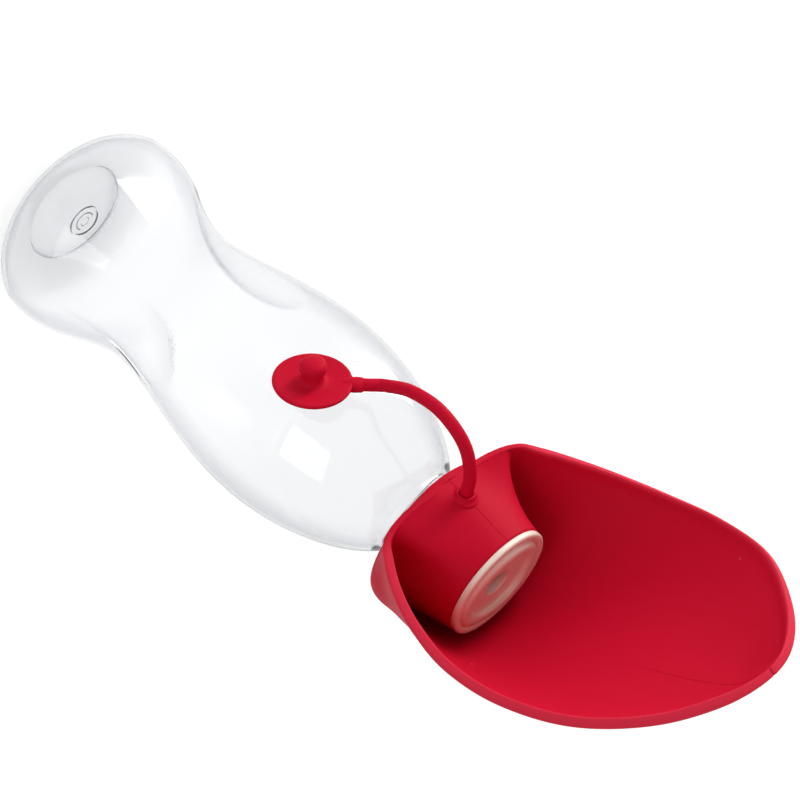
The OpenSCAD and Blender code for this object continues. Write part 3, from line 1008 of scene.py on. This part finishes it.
@dataclass
class LeafBowl:
    """The soft leaf-shaped bowl with the sleeve that grips the cap."""

    wall: float = 2.2
    root_r: float = 23.4
    root_z: float = 172.4
    half_w: float = 50.0
    tip_z: float = 285.8
    tip_reach: float = 51.0
    depth: float = 30.2
    floor_share: float = 0.58
    corner_pull: float = 1.25
    blend_end: float = 0.4
    mouth_r: float = 19.45
    mouth_z: float = 199.65
    sleeve_bore_r: float = 17.65
    grip_share: float = 0.62
    eyelet_z: float = 181.4
    eyelet_face_r: float = 24.0
    collar_r: float = 3.2
    strap_r: float = 2.0
    lip_outer: tuple[float, float] = (1.5, 1.05)
    lip_inner: tuple[float, float] = (0.5, 0.45)
    lip_swell: float = 0.8
    # How strongly, and over how many millimetres, the painted highlight pales the lip's base
    # colour.
    lip_highlight_strength: float = 0.6
    lip_highlight_fade: float = 1.6
    line_at: float = 3.4
    line_depth: float = 0.2
    line_marks: tuple[float, ...] = (2.1, 2.7, 3.0, 3.2, 3.4, 3.6, 3.8, 4.1, 4.7, 5.6)
    seam_r: float = 0.14
    overlap: float = 0.25
    foot_z: float = 177.3
    leave_turn: float = 44.0
    rows: int = 110
    cols: int = 34
    lip_points: int = 5
    sleeve_lines: int = 60
    rim: list[Point] = field(default_factory=list)
    keel: list[Point] = field(default_factory=list)

    def __post_init__(self) -> None:
        """Work out the rim and the keel from the driving sizes."""
        w, r, d, tip = self.half_w, self.root_r, self.depth, self.tip_reach

        def z(share: float) -> float:
            """Return the height at a share of the bowl's."""
            return self.root_z + (self.tip_z - self.root_z) * share

        def front(share: float) -> float:
            """Return how far forward the rim stands at a share of its way."""
            return mix(-r, -tip, share)

        def under(share: float) -> float:
            """Return how far back the keel stands at a share of its way."""
            return mix(d, -tip, share)

        self.rim = [
            (0.0, -r, z(0.015)), (w * 0.34, -r + 0.4, z(0.015)), (w * 0.57, -r + 1.6, z(0.036)),
            (w * 0.69, -r + 2.8, z(0.084)), (w * 0.81, -r + 3.4, z(0.168)),
            (w * 0.91, -r + 2.8, z(0.272)), (w * 0.99, -r + 0.4, z(0.411)),
            (w, front(0.20), z(0.579)), (w * 0.89, front(0.47), z(0.750)),
            (w * 0.62, front(0.69), z(0.887)), (w * 0.30, front(0.91), z(0.9735)),
            (0.0, -tip, self.tip_z),
        ]
        self.keel = [
            (0, r, z(0)), (0, d * 0.90, z(-0.004)), (0, d * 0.98, z(0.024)), (0, d, z(0.082)),
            (0, d * 0.965, z(0.160)), (0, d * 0.81, z(0.256)), (0, under(0.2065), z(0.400)),
            (0, under(0.359), z(0.540)), (0, under(0.532), z(0.710)), (0, under(0.695), z(0.863)),
            (0, under(0.827), z(0.952)), (0, -tip, self.tip_z),
        ]

    @property
    def spans(self) -> int:
        """Return the number of parts that the rim and the keel have."""
        return len(self.rim) - 1

    def corner_at(self, s: float) -> tuple[float, float]:
        """Return how wide the floor is, and how far the section's corner is pulled out, at s."""
        side = math.exp(-((s - 0.43) / 0.10) ** 2)
        return self.floor_share - 0.09 * side, self.corner_pull - 0.15 * side

    def outside(self, s: float, t: float) -> Vector:
        """Return a point of the bowl's outside.

        Args:
            s: From the root at 0 to the tip at 1.
            t: From the rim at 0 to the keel at 1.

        Returns:
            The point.
        """
        a = math.pi * t
        root = Vector((self.root_r * math.sin(a), -self.root_r * math.cos(a), self.root_z))
        if s <= 0:
            return root
        b = max(0.0001, math.sin(math.pi / 2 * min(1.0, s / self.blend_end)))
        c0 = Vector((0, -self.root_r, self.root_z))
        c1 = Vector((0, self.root_r, self.root_z))
        far = self.rim[-2]
        top = spline(self.rim, s * self.spans, (-far[0], far[1], far[2]))
        low = spline(self.keel, s * self.spans)
        u0, u1 = (top - (1 - b) * c0) / b, (low - (1 - b) * c1) / b
        share, pull = self.corner_at(s)
        corner = Vector((share * u0.x, u1.y, u1.z))
        w = 2 * pull * t * (1 - t)
        den = (1 - t) ** 2 + w + t * t
        trough = ((1 - t) ** 2 * u0 + w * corner + t * t * u1) / den
        return (1 - b) * root + b * trough

    def normal(self, s: float, t: float) -> Vector:
        """Return the direction from the outside to the inside of the wall.

        Args:
            s: From the root at 0 to the tip at 1.
            t: From the rim at 0 to the keel at 1.

        Returns:
            The direction, one long.
        """
        step = 0.012
        s, t = min(max(s, step), 1 - step), min(max(t, step), 1 - step)
        along = self.outside(s + step, t) - self.outside(s - step, t)
        across = self.outside(s, t + step) - self.outside(s, t - step)
        return along.cross(across).normalized()

    def inside(self, s: float, t: float) -> Vector:
        """Return a point of the bowl's inside, one wall from the outside.

        Args:
            s: From the root at 0 to the tip at 1.
            t: From the rim at 0 to the keel at 1.

        Returns:
            The point.
        """
        n = Vector((0, 0, 1)) if s <= 0 else self.normal(s, t)
        if t >= 1:
            n = Vector((0, n.y, n.z)).normalized()
        return self.outside(s, t) + self.wall * n

    def lip_steps(self, s: float) -> tuple[float, list[tuple[float, float]]]:
        """Return the steps from the rim to the keel, closer together along the lip.

        Args:
            s: From the root at 0 to the tip at 1.

        Returns:
            How much the lip shrinks towards the tip, and each step's distance from the rim
            in lip millimetres with its place t.
        """
        samples = [self.outside(s, k / 8) for k in range(9)]
        girth = sum((b - a).length for a, b in zip(samples, samples[1:]))
        reach = max((self.outside(s, 0.0) - self.outside(s, 0.05)).length / 0.05, 1e-3)
        shrink = min(1.0, girth / 24.0)
        marks = (self.lip_inner[0], self.lip_outer[0], *self.line_marks)
        near = [(d, min(d * shrink / reach, 0.05 * d)) for d in marks]
        last, beyond = near[-1][1], 99.0
        return shrink, near + [
            (beyond, mix(last, 1.0, i / self.cols)) for i in range(1, self.cols + 1)]

    def halved(self, p: Vector) -> Vector:
        """Return a point kept on its own side of the mid plane."""
        return Vector((max(0.0, p.x), p.y, p.z))

    def half_section(self, s: float) -> tuple[list[Vector], list[Vector], list[Vector]]:
        """Return one half of the wall's section at s.

        Args:
            s: From the root at 0 to the tip at 1.

        Returns:
            Points from the outer keel to the rim, round the rim, and back to the inner keel.
        """
        shrink, steps = self.lip_steps(s)
        thick = self.lip_swell * ramp(s, 0.16, 0.14)
        out, back = [], []
        for d, t in steps:
            p, q = self.outside(s, t), self.inside(s, t)
            groove = self.line_depth * math.exp(-((d - self.line_at) / 0.22) ** 2)
            swell = thick * math.exp(-(d / 3.0) ** 2)
            across = (q - p) * (shrink / self.wall)
            out.append(p + groove * across)
            back.append(self.halved(q + swell * across))
        out = out[:0:-1]
        top, inner_top = self.outside(s, 0.0), self.inside(s, 0.0)
        across = (inner_top - top).normalized()
        inner_top = self.halved(inner_top + thick * shrink * across)
        n = self.lip_points
        turns = [math.pi / 2 * k / n for k in range(n + 1)]
        edge = [out[-1] + (top - out[-1]) * math.sin(a)
                + across * self.lip_outer[1] * (1 - math.cos(a)) for a in turns[1:]]
        edge += [back[0] + (inner_top - back[0]) * math.cos(a)
                 - across * self.lip_inner[1] * (1 - math.sin(a)) for a in turns[:-1]]
        return out, edge, back

    def section(self, s: float) -> list[Vector]:
        """Return the wall's whole section at s as a closed loop of points.

        Args:
            s: From the root at 0 to the tip at 1.

        Returns:
            The points, from the outer keel round the lip and back on either side.
        """
        out, edge, back = self.half_section(s)
        right = out + edge + back
        left = [Vector((-p.x, p.y, p.z)) for p in reversed(right)]
        return right + left[1:-1]

    def build_bowl(self) -> bpy.types.Object:
        """Make the bowl's shell."""
        shell = Shell()
        levels = [0.0, 0.25, 0.6] + list(range(1, self.rows)) + [self.rows - 0.4]
        rows = [shell.row(self.section(level / self.rows)) for level in levels]
        shell.join_rows(rows)
        last = [shell.vertices[i] for i in rows[-1]]
        shell.close(rows[-1], sum(last, Vector()) / len(last))
        first = rows[0]
        half = len(first) // 2
        for i in range(half // 2):
            shell.faces.append((first[i + 1], first[i], first[half - i], first[half - i - 1]))
            back = len(first) - 1 - i
            shell.faces.append((first[(back + 1) % len(first)], first[back],
                                first[half + i + 1], first[half + i]))
        bowl = shell.make("leaf_bowl", crease=60)
        self.mark_lip_highlight(bowl, dict(zip(levels, rows)))
        return bowl

    def mark_lip_highlight(self, bowl: bpy.types.Object, rows: dict[float, list[int]]) -> None:
        """Mark the lip for a painted highlight, where the base colour is made paler to stand in
        for the sheen that light catches on the rim.

        Args:
            bowl: The bowl's mesh object.
            rows: The numbers of each section's points, by level.
        """
        mark = bowl.data.attributes.new(LIP_HIGHLIGHT_MARK, "FLOAT", "POINT")
        points = [v.co / MM for v in bowl.data.vertices]
        outer = len(self.half_section(0.5)[0])
        round_lip = range(outer, outer + 2 * self.lip_points)
        for level, row in rows.items():
            # Strength of the painted lip highlight, fading in from the root towards the tip.
            pale = self.lip_highlight_strength * ramp(level / self.rows, 0.15, 0.12)
            lip = [row[k] for k in round_lip] + [row[-k] for k in round_lip]
            for i in row:
                gap = min((points[i] - points[j]).length for j in lip)
                mark.data[i].value = pale * (1 - smooth(gap / self.lip_highlight_fade))

    def rim_share(self, turn: float) -> float:
        """Return how far along the bowl its rim lies at an angle round the axis."""
        return narrow(lambda s: turn_of(spline(self.rim, s * self.spans)) < turn, 0.0, 0.45, 24)

    def wall_at(self, s: float, turn: float) -> Vector:
        """Return the point of the bowl's inside at s and at an angle round the axis."""
        t = narrow(lambda t: turn_of(self.inside(s, t)) < turn, 0.0, 1.0, 22)
        return self.inside(s, t)

    def foot(self, turn: float) -> tuple[Vector, Vector, float]:
        """Work out where the sleeve's flare runs into the bowl.

        Args:
            turn: The angle round the sleeve in degrees, from 0 in front to 180 behind.

        Returns:
            The point, the direction in which the flare arrives, and how soon it turns to it.
        """
        # The foot follows the lip in front, and from the side on it climbs the bowl's wall.
        share = self.rim_share(turn)
        height = self.foot_z + 5.0 * ramp(turn, 72, 30) - 1.5 * ramp(turn, 100, 40)
        highest = max(0.08, min(0.42, 0.94 * share))
        found = narrow(lambda s: self.wall_at(s, turn).z < height, 0.06, highest, 12)
        leave = ramp(turn, self.leave_turn, 18)
        foot_s = mix(0.995 * share, found, leave)
        a = math.radians(turn)
        out, down = Vector((math.sin(a), -math.cos(a), 0)), Vector((0, 0, -1))
        wall = self.wall_at(foot_s, turn)
        climb = (self.wall_at(foot_s + 0.02, turn) - wall).normalized()
        rise = math.degrees(math.atan2(climb.dot(out), climb.dot(down)))
        rise = mix(rise, max(rise, 70.0), 1 - leave)
        sink = math.radians(rise - 90)
        wall += self.overlap * (math.sin(sink) * out + math.cos(sink) * down)
        edge = self.outside(share, 0.0).lerp(
            self.inside(share, 0.0), 0.15 + 0.8 * ramp(turn, 0, 46))
        swing = math.radians(mix(58 * ramp(turn, 0, 54), rise, leave))
        run = math.sin(swing) * out + math.cos(swing) * down
        handle = mix(mix(9.5, 5.5, ramp(turn, 0, 50)), mix(4.5, 6.5, ramp(turn, 70, 25)), leave)
        return edge.lerp(wall, ramp(turn, self.leave_turn - 2, 8)), run, handle

    def flare(self, turn: float, steps: int = 30) -> list[Vector]:
        """Return the sleeve's outside from its mouth down to where it runs into the bowl.

        Args:
            turn: The angle round the sleeve in degrees, from 0 in front to 180 behind.
            steps: The number of parts of the line.

        Returns:
            The points of the line.
        """
        a = math.radians(turn)
        out = Vector((math.sin(a), -math.cos(a), 0))
        top = self.mouth_r * out + Vector((0, 0, self.mouth_z - 0.4))
        low, run, handle = self.foot(turn)
        start = ((0.10 + 0.06 * ramp(turn, 0, 40)) * out + Vector((0, 0, -1))).normalized()
        p1, p2 = top + start * 10.0, low - run * handle
        points = []
        for i in range(steps + 1):
            q = i / steps
            points.append((1 - q) ** 3 * top + 3 * q * (1 - q) ** 2 * p1
                          + 3 * q * q * (1 - q) * p2 + q ** 3 * low)
        return points

    def build_sleeve(self) -> bpy.types.Object:
        """Make the sleeve: its flared outside, its rounded mouth and its bore."""
        shell = Shell()
        half = self.sleeve_lines
        right = [self.flare(180 * i / half) for i in range(half + 1)]
        lines = right + [[Vector((-p.x, p.y, p.z)) for p in line] for line in right[-2:0:-1]]
        count = len(lines)
        turns = [-math.pi / 2 + math.pi * 2 * i / count for i in range(count)]

        def level(r: float, z: float) -> list[Vector]:
            """Return the points of a level ring of the bore or the mouth."""
            return [Vector((r * math.cos(a), r * math.sin(a), z)) for a in turns]

        grip_z = mix(self.root_z, self.mouth_z, self.grip_share)
        bore, top = self.sleeve_bore_r, self.mouth_z
        root_in = self.root_r - 1.8
        rows = [shell.row([line[k] for line in lines]) for k in range(len(lines[0]) - 1, -1, -1)]
        rows += [shell.row(level(r, z)) for r, z in (
            (self.mouth_r - 0.12, top - 0.12), (self.mouth_r - 0.4, top), (bore + 0.35, top),
            (bore + 0.08, top - 0.1), (bore, top - 0.4), (bore, grip_z),
            (root_in - 0.8, mix(self.root_z, grip_z, 0.55)), (root_in, self.root_z + 0.5),
            (root_in + 0.15, self.root_z + 0.12), (root_in + 0.5, self.root_z),
            (self.root_r - 0.02, self.root_z))]
        shell.join_rows(rows)
        shell.join(rows[-1], rows[0])
        return shell.make("cap_sleeve", crease=60)

    def build_collar(self) -> bpy.types.Object:
        """Make the raised lip round the hole that the strap leaves through."""
        place = Matrix.Translation((0, -self.eyelet_face_r, self.eyelet_z)) @ Matrix.Rotation(
            math.pi / 2, 4, "X")
        hole, edge, buried = self.strap_r + 0.08, self.collar_r - 0.15, -2.2
        return turned("strap_collar", [
            (hole, buried), (hole, -0.12), (hole + 0.08, 0.08), (hole + 0.28, 0.2),
            (edge - 0.4, 0.2), (edge - 0.15, 0.1), (edge + 0.02, -0.12), (edge + 0.12, -0.5),
            (edge + 0.3, -0.9), (edge + 0.7, -1.3), (edge + 1.2, -1.55), (edge + 1.2, buried),
        ], place, count=56, loop=True, crease=60)

    def build_seams(self) -> list[bpy.types.Object]:
        """Make the fine raised parting lines on the sleeve and at the tip."""
        front = [p + Vector((0, 0.03, 0)) for p in self.flare(0.0, steps=60)]
        reach = self.collar_r + 0.3
        upper = [p for p in front if p.z > self.eyelet_z + reach]
        lower = [p for p in front if p.z < self.eyelet_z - reach]
        tip = [self.inside(s / 100, 1.0) - 0.04 * self.normal(s / 100, 1.0)
               for s in range(72, 98)]
        lines = {"sleeve_seam": upper, "sleeve_root_seam": lower, "tip_seam": tip}
        return [tube(name, line, [self.seam_r] * len(line), count=10)
                for name, line in lines.items()]

    def build(self, finishes: Finishes) -> list[bpy.types.Object]:
        """Make the bowl, the sleeve, the collar and the seams.

        Args:
            finishes: The object's materials.

        Returns:
            The pieces.
        """
        bowl, sleeve = self.build_bowl(), self.build_sleeve()
        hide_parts("bowl")
        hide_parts("sleeve")
        pieces = [bowl, sleeve, self.build_collar(), *self.build_seams()]
        for piece in pieces:
            finishes.put(piece, Slot.SILICONE)
            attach(piece, Body.CAP.value)
        return pieces


# --------------------------------------------------------- strap and stopper


@dataclass
class Tether:
    """The strap and the stopper that it carries."""

    strap_r: float = 2.0
    strap_back: float = 1.75
    disc_r: float = 12.0
    tab_l: float = 1.6
    tab_flat: float = 0.22
    lean: float = 7.5
    turn: float = 46.0
    place: Point = (15.5, -38.0, 129.5)
    root: Point = (0.0, -24.0, 181.4)
    middle: tuple[Point, ...] = (
        (0.0, -30.0, 181.3), (0.0, -37.0, 179.0), (0.2, -41.6, 175.8), (0.6, -45.1, 170.9),
        (0.7, -46.7, 165.0), (0.7, -46.2, 159.3), (0.3, -44.1, 153.7), (-0.3, -40.9, 148.9),
    )
    split: float = 1.97
    lap: float = 0.03
    steps: int = 150

    @property
    def plug_axis(self) -> Vector:
        """Return the direction that the plug points in."""
        lean = math.radians(self.lean)
        return Vector((0, -math.cos(lean), -math.sin(lean)))

    @property
    def tab_axis(self) -> Vector:
        """Return the direction from the disc's middle to the strap."""
        lean, turn = math.radians(self.lean), math.radians(self.turn)
        return Vector((-math.sin(turn), -math.cos(turn) * math.sin(lean),
                       math.cos(turn) * math.cos(lean)))

    def route(self) -> list[Vector]:
        """Return the points that the strap's middle line passes through."""
        end = Vector(self.place) - self.plug_axis * self.strap_back + self.tab_axis * (
            self.disc_r + self.tab_l)
        points = [Vector(self.root), *(Vector(p) for p in self.middle)]
        return points + [end + self.tab_axis * 7, end + self.tab_axis * 3.5, end]

    def build_strap(self, finishes: Finishes) -> list[bpy.types.Object]:
        """Make the strap in two lengths, split part way along its route.

        Args:
            finishes: The object's materials.

        Returns:
            The two lengths.
        """
        route = self.route()
        last = len(route) - 1
        line = [(last * i / self.steps, spline(route, last * i / self.steps))
                for i in range(self.steps + 1)]
        first = [Vector((0, self.root[1] + 1.2, self.root[2]))]
        near = first + [p for u, p in line if u <= self.split + self.lap]
        far = [p for u, p in line if u >= self.split - self.lap]
        far.append(far[-1] - self.tab_axis * (self.tab_l + 0.6))
        halves = [tube("strap_root_length", near, [self.strap_r] * len(near), count=28),
                  tube("strap_tip_length", far, [self.strap_r] * len(far), count=28)]
        for half in halves:
            finishes.put(half, Slot.SILICONE)
            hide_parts("strap")
        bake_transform(halves[0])
        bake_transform(halves[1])
        return halves

    def build_stopper(self, finishes: Finishes) -> bpy.types.Object:
        """Make the stopper's disc, neck, head and tab.

        Args:
            finishes: The object's materials.

        Returns:
            The stopper's turned body.
        """
        profile = [
            (0, -1.8), (6.0, -1.8), (10.4, -1.76), (11.3, -1.55), (11.8, -1.2), (12.0, -0.75),
            (11.92, -0.35), (11.65, -0.1), (11.2, 0.0), (10.6, -0.04), (9.4, -0.16),
            (7.6, -0.34), (5.9, -0.46), (4.9, -0.42), (4.1, -0.15), (3.6, 0.3), (3.36, 0.9),
            (3.28, 1.7), (3.3, 2.6), (3.46, 3.0), (3.78, 3.3), (4.0, 3.7), (4.1, 4.2),
            (4.1, 5.0), (4.02, 5.6), (3.78, 6.1), (3.3, 6.55), (2.5, 6.9), (1.4, 7.13),
            (0.6, 7.19), (0, 7.2),
        ]
        tilt = Matrix.Rotation(math.radians(90 + self.lean), 4, "X")
        place = Matrix.Translation(self.place) @ tilt
        stopper = turned("stopper_body", profile, place, count=120, crease=60)
        base = Vector(self.place) - self.plug_axis * self.strap_back
        line = [base + self.tab_axis * (self.disc_r + d)
                for d in (-3.0, -1.6, 0.0, 1.4, 2.4, 2.9, 3.1)]
        tab = tube("stopper_tab", line, [2.3, 2.55, 2.7, 2.7, 2.65, 2.45, 2.1], count=36)
        for vertex in tab.data.vertices:
            high = (vertex.co - base * MM).dot(self.plug_axis)
            vertex.co -= self.plug_axis * high * self.tab_flat
        for piece in (stopper, tab):
            finishes.put(piece, Slot.SILICONE)
            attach(piece, Body.STOPPER.value)
        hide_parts("stopper")
        return stopper

    def build(self, finishes: Finishes) -> None:
        """Make the strap and the stopper."""
        self.build_strap(finishes)
        self.build_stopper(finishes)


# --------------------------------------------------------------------- studio


@dataclass
class Studio:
    """The camera, the floor, the lamps and the plain surroundings."""

    focal: float = 80.357
    eye: Point = (295.158, -420.337, 355.020)
    right: Point = (-0.692672, -0.158731, 0.703569)
    down: Point = (0.451611, 0.665136, 0.594677)
    ahead: Point = (-0.562363, 0.729656, -0.389036)
    floor_drop: float = 0.3
    floor_half: float = 4000.0
    floor_colour: Colour = (0.84, 0.84, 0.84, 1.0)
    white: Colour = (1.0, 1.0, 1.0, 1.0)
    sky_light: float = 0.42
    glow_near: tuple[float, float] = (70.0, 0.62)
    glow_middle: tuple[float, float] = (260.0, 0.50)
    glow_far: tuple[float, float] = (2600.0, 0.26)
    aim: Point = (0.0, 0.0, 150.0)
    lamps: tuple = (
        ("key_lamp", (-560.0, -500.0, 100.0), (900.0, 180.0), 4.6),
        ("fill_lamp", (1250.0, -500.0, 320.0), (900.0, 500.0), 3.6),
        ("top_lamp", (-200.0, 0.0, 1500.0), (1200.0, 1200.0), 5.0),
    )

    def build_camera(self) -> None:
        """Set up the camera."""
        data = bpy.data.cameras.new("view_camera")
        data.lens = self.focal
        data.sensor_width = 36.0
        data.clip_start = 0.01
        camera = show(bpy.data.objects.new("view_camera", data))
        x, y, z = Vector(self.right), -Vector(self.down), -Vector(self.ahead)
        turn = Matrix((x, y, z)).transposed().to_4x4()
        camera.matrix_world = Matrix.Translation(Vector(self.eye) * MM) @ turn
        bpy.context.scene.camera = camera

    def seen(self, graph: Graph) -> bpy.types.NodeSocket:
        """Return 1 for rays on which the plain pale surroundings show.

        Args:
            graph: The graph of the material or the world.

        Returns:
            The socket that holds the value.
        """
        path = graph.add("ShaderNodeLightPath")
        both = graph.maths("ADD", path.outputs["Is Camera Ray"], path.outputs["Is Glossy Ray"])
        total = graph.maths("ADD", both, path.outputs["Is Transmission Ray"])
        return graph.maths("MINIMUM", total, 1.0)

    def build_floor(self) -> None:
        """Make the plain pale floor."""
        shell = Shell()
        far, z = self.floor_half, -self.floor_drop
        shell.faces.append(tuple(shell.row([Vector((x, y, z)) for x, y in (
            (-far, -far), (far, -far), (far, far), (-far, far))])))
        floor = shell.make("pale_floor")
        made, g, shader = new_material("pale_floor_paint")
        place = g.add("ShaderNodeTexCoord").outputs["Object"]
        away = g.add("ShaderNodeVectorMath", {0: place}, operation="LENGTH").outputs["Value"]
        near = g.band(away, self.glow_near[0] * MM, self.glow_middle[0] * MM,
                      (self.glow_near[1], self.glow_middle[1]))
        glow = g.maths("ADD", near, g.band(away, 3 * self.glow_middle[0] * MM,
                                           self.glow_far[0] * MM, (0, self.glow_far[1])))
        g.feed(shader, {
            "Base Color": self.floor_colour, "Roughness": 0.9, "Specular IOR Level": 0.1,
            "Emission Color": self.white,
            "Emission Strength": g.maths("MULTIPLY", self.seen(g), glow),
        })
        floor.data.materials.append(made)

    def build_world(self) -> None:
        """Make the even surroundings."""
        world = bpy.data.worlds.new("even_surroundings")
        world.use_nodes = True
        bpy.context.scene.world = world
        g = Graph(world.node_tree)
        strength = g.add("ShaderNodeMapRange", {
            "Value": self.seen(g), "To Min": self.sky_light, "To Max": 1.0})
        g.feed(world.node_tree.nodes["Background"], {
            "Color": self.white, "Strength": strength.outputs["Result"]})

    def build_lamps(self) -> None:
        """Make the soft lamps."""
        for name, place, size, watts in self.lamps:
            data = bpy.data.lights.new(name, "AREA")
            data.shape = "RECTANGLE"
            data.size, data.size_y = (side * MM for side in size)
            data.energy = watts
            lamp = show(bpy.data.objects.new(name, data))
            aim = Vector(self.aim) - Vector(place)
            lamp.matrix_world = Matrix.Translation(Vector(place) * MM) @ aim.to_track_quat(
                "-Z", "Y").to_matrix().to_4x4()
            lamp.visible_camera = False
            lamp.visible_transmission = False

    def build(self) -> None:
        """Set up the whole studio."""
        bpy.context.scene.view_settings.view_transform = "Standard"
        self.build_camera()
        self.build_floor()
        self.build_world()
        self.build_lamps()


def main() -> None:
    """Build the object and its studio."""
    logging.basicConfig(level=logging.INFO, format="%(message)s")
    for old in list(bpy.data.objects):
        bpy.data.objects.remove(old)
    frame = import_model()
    nodes = frame["nodes"]
    finishes = Finishes(Groups(grain_group(), specks_group(), ripple_group()))
    finishes.build()
    Studio().build()
    Tether().build(finishes)
    LOG.info("strap and stopper made")
    Bottle().build(finishes)
    LOG.info("bottle made")
    Cap().build(finishes, nodes)
    LOG.info("cap made")
    LeafBowl().build(finishes)
    LOG.info("bowl, sleeve and collar made")
    finishes.keep(nodes["strap_anchor"], Slot.SILICONE)
    bpy.context.view_layer.update()


if __name__ == "__main__":
    main()
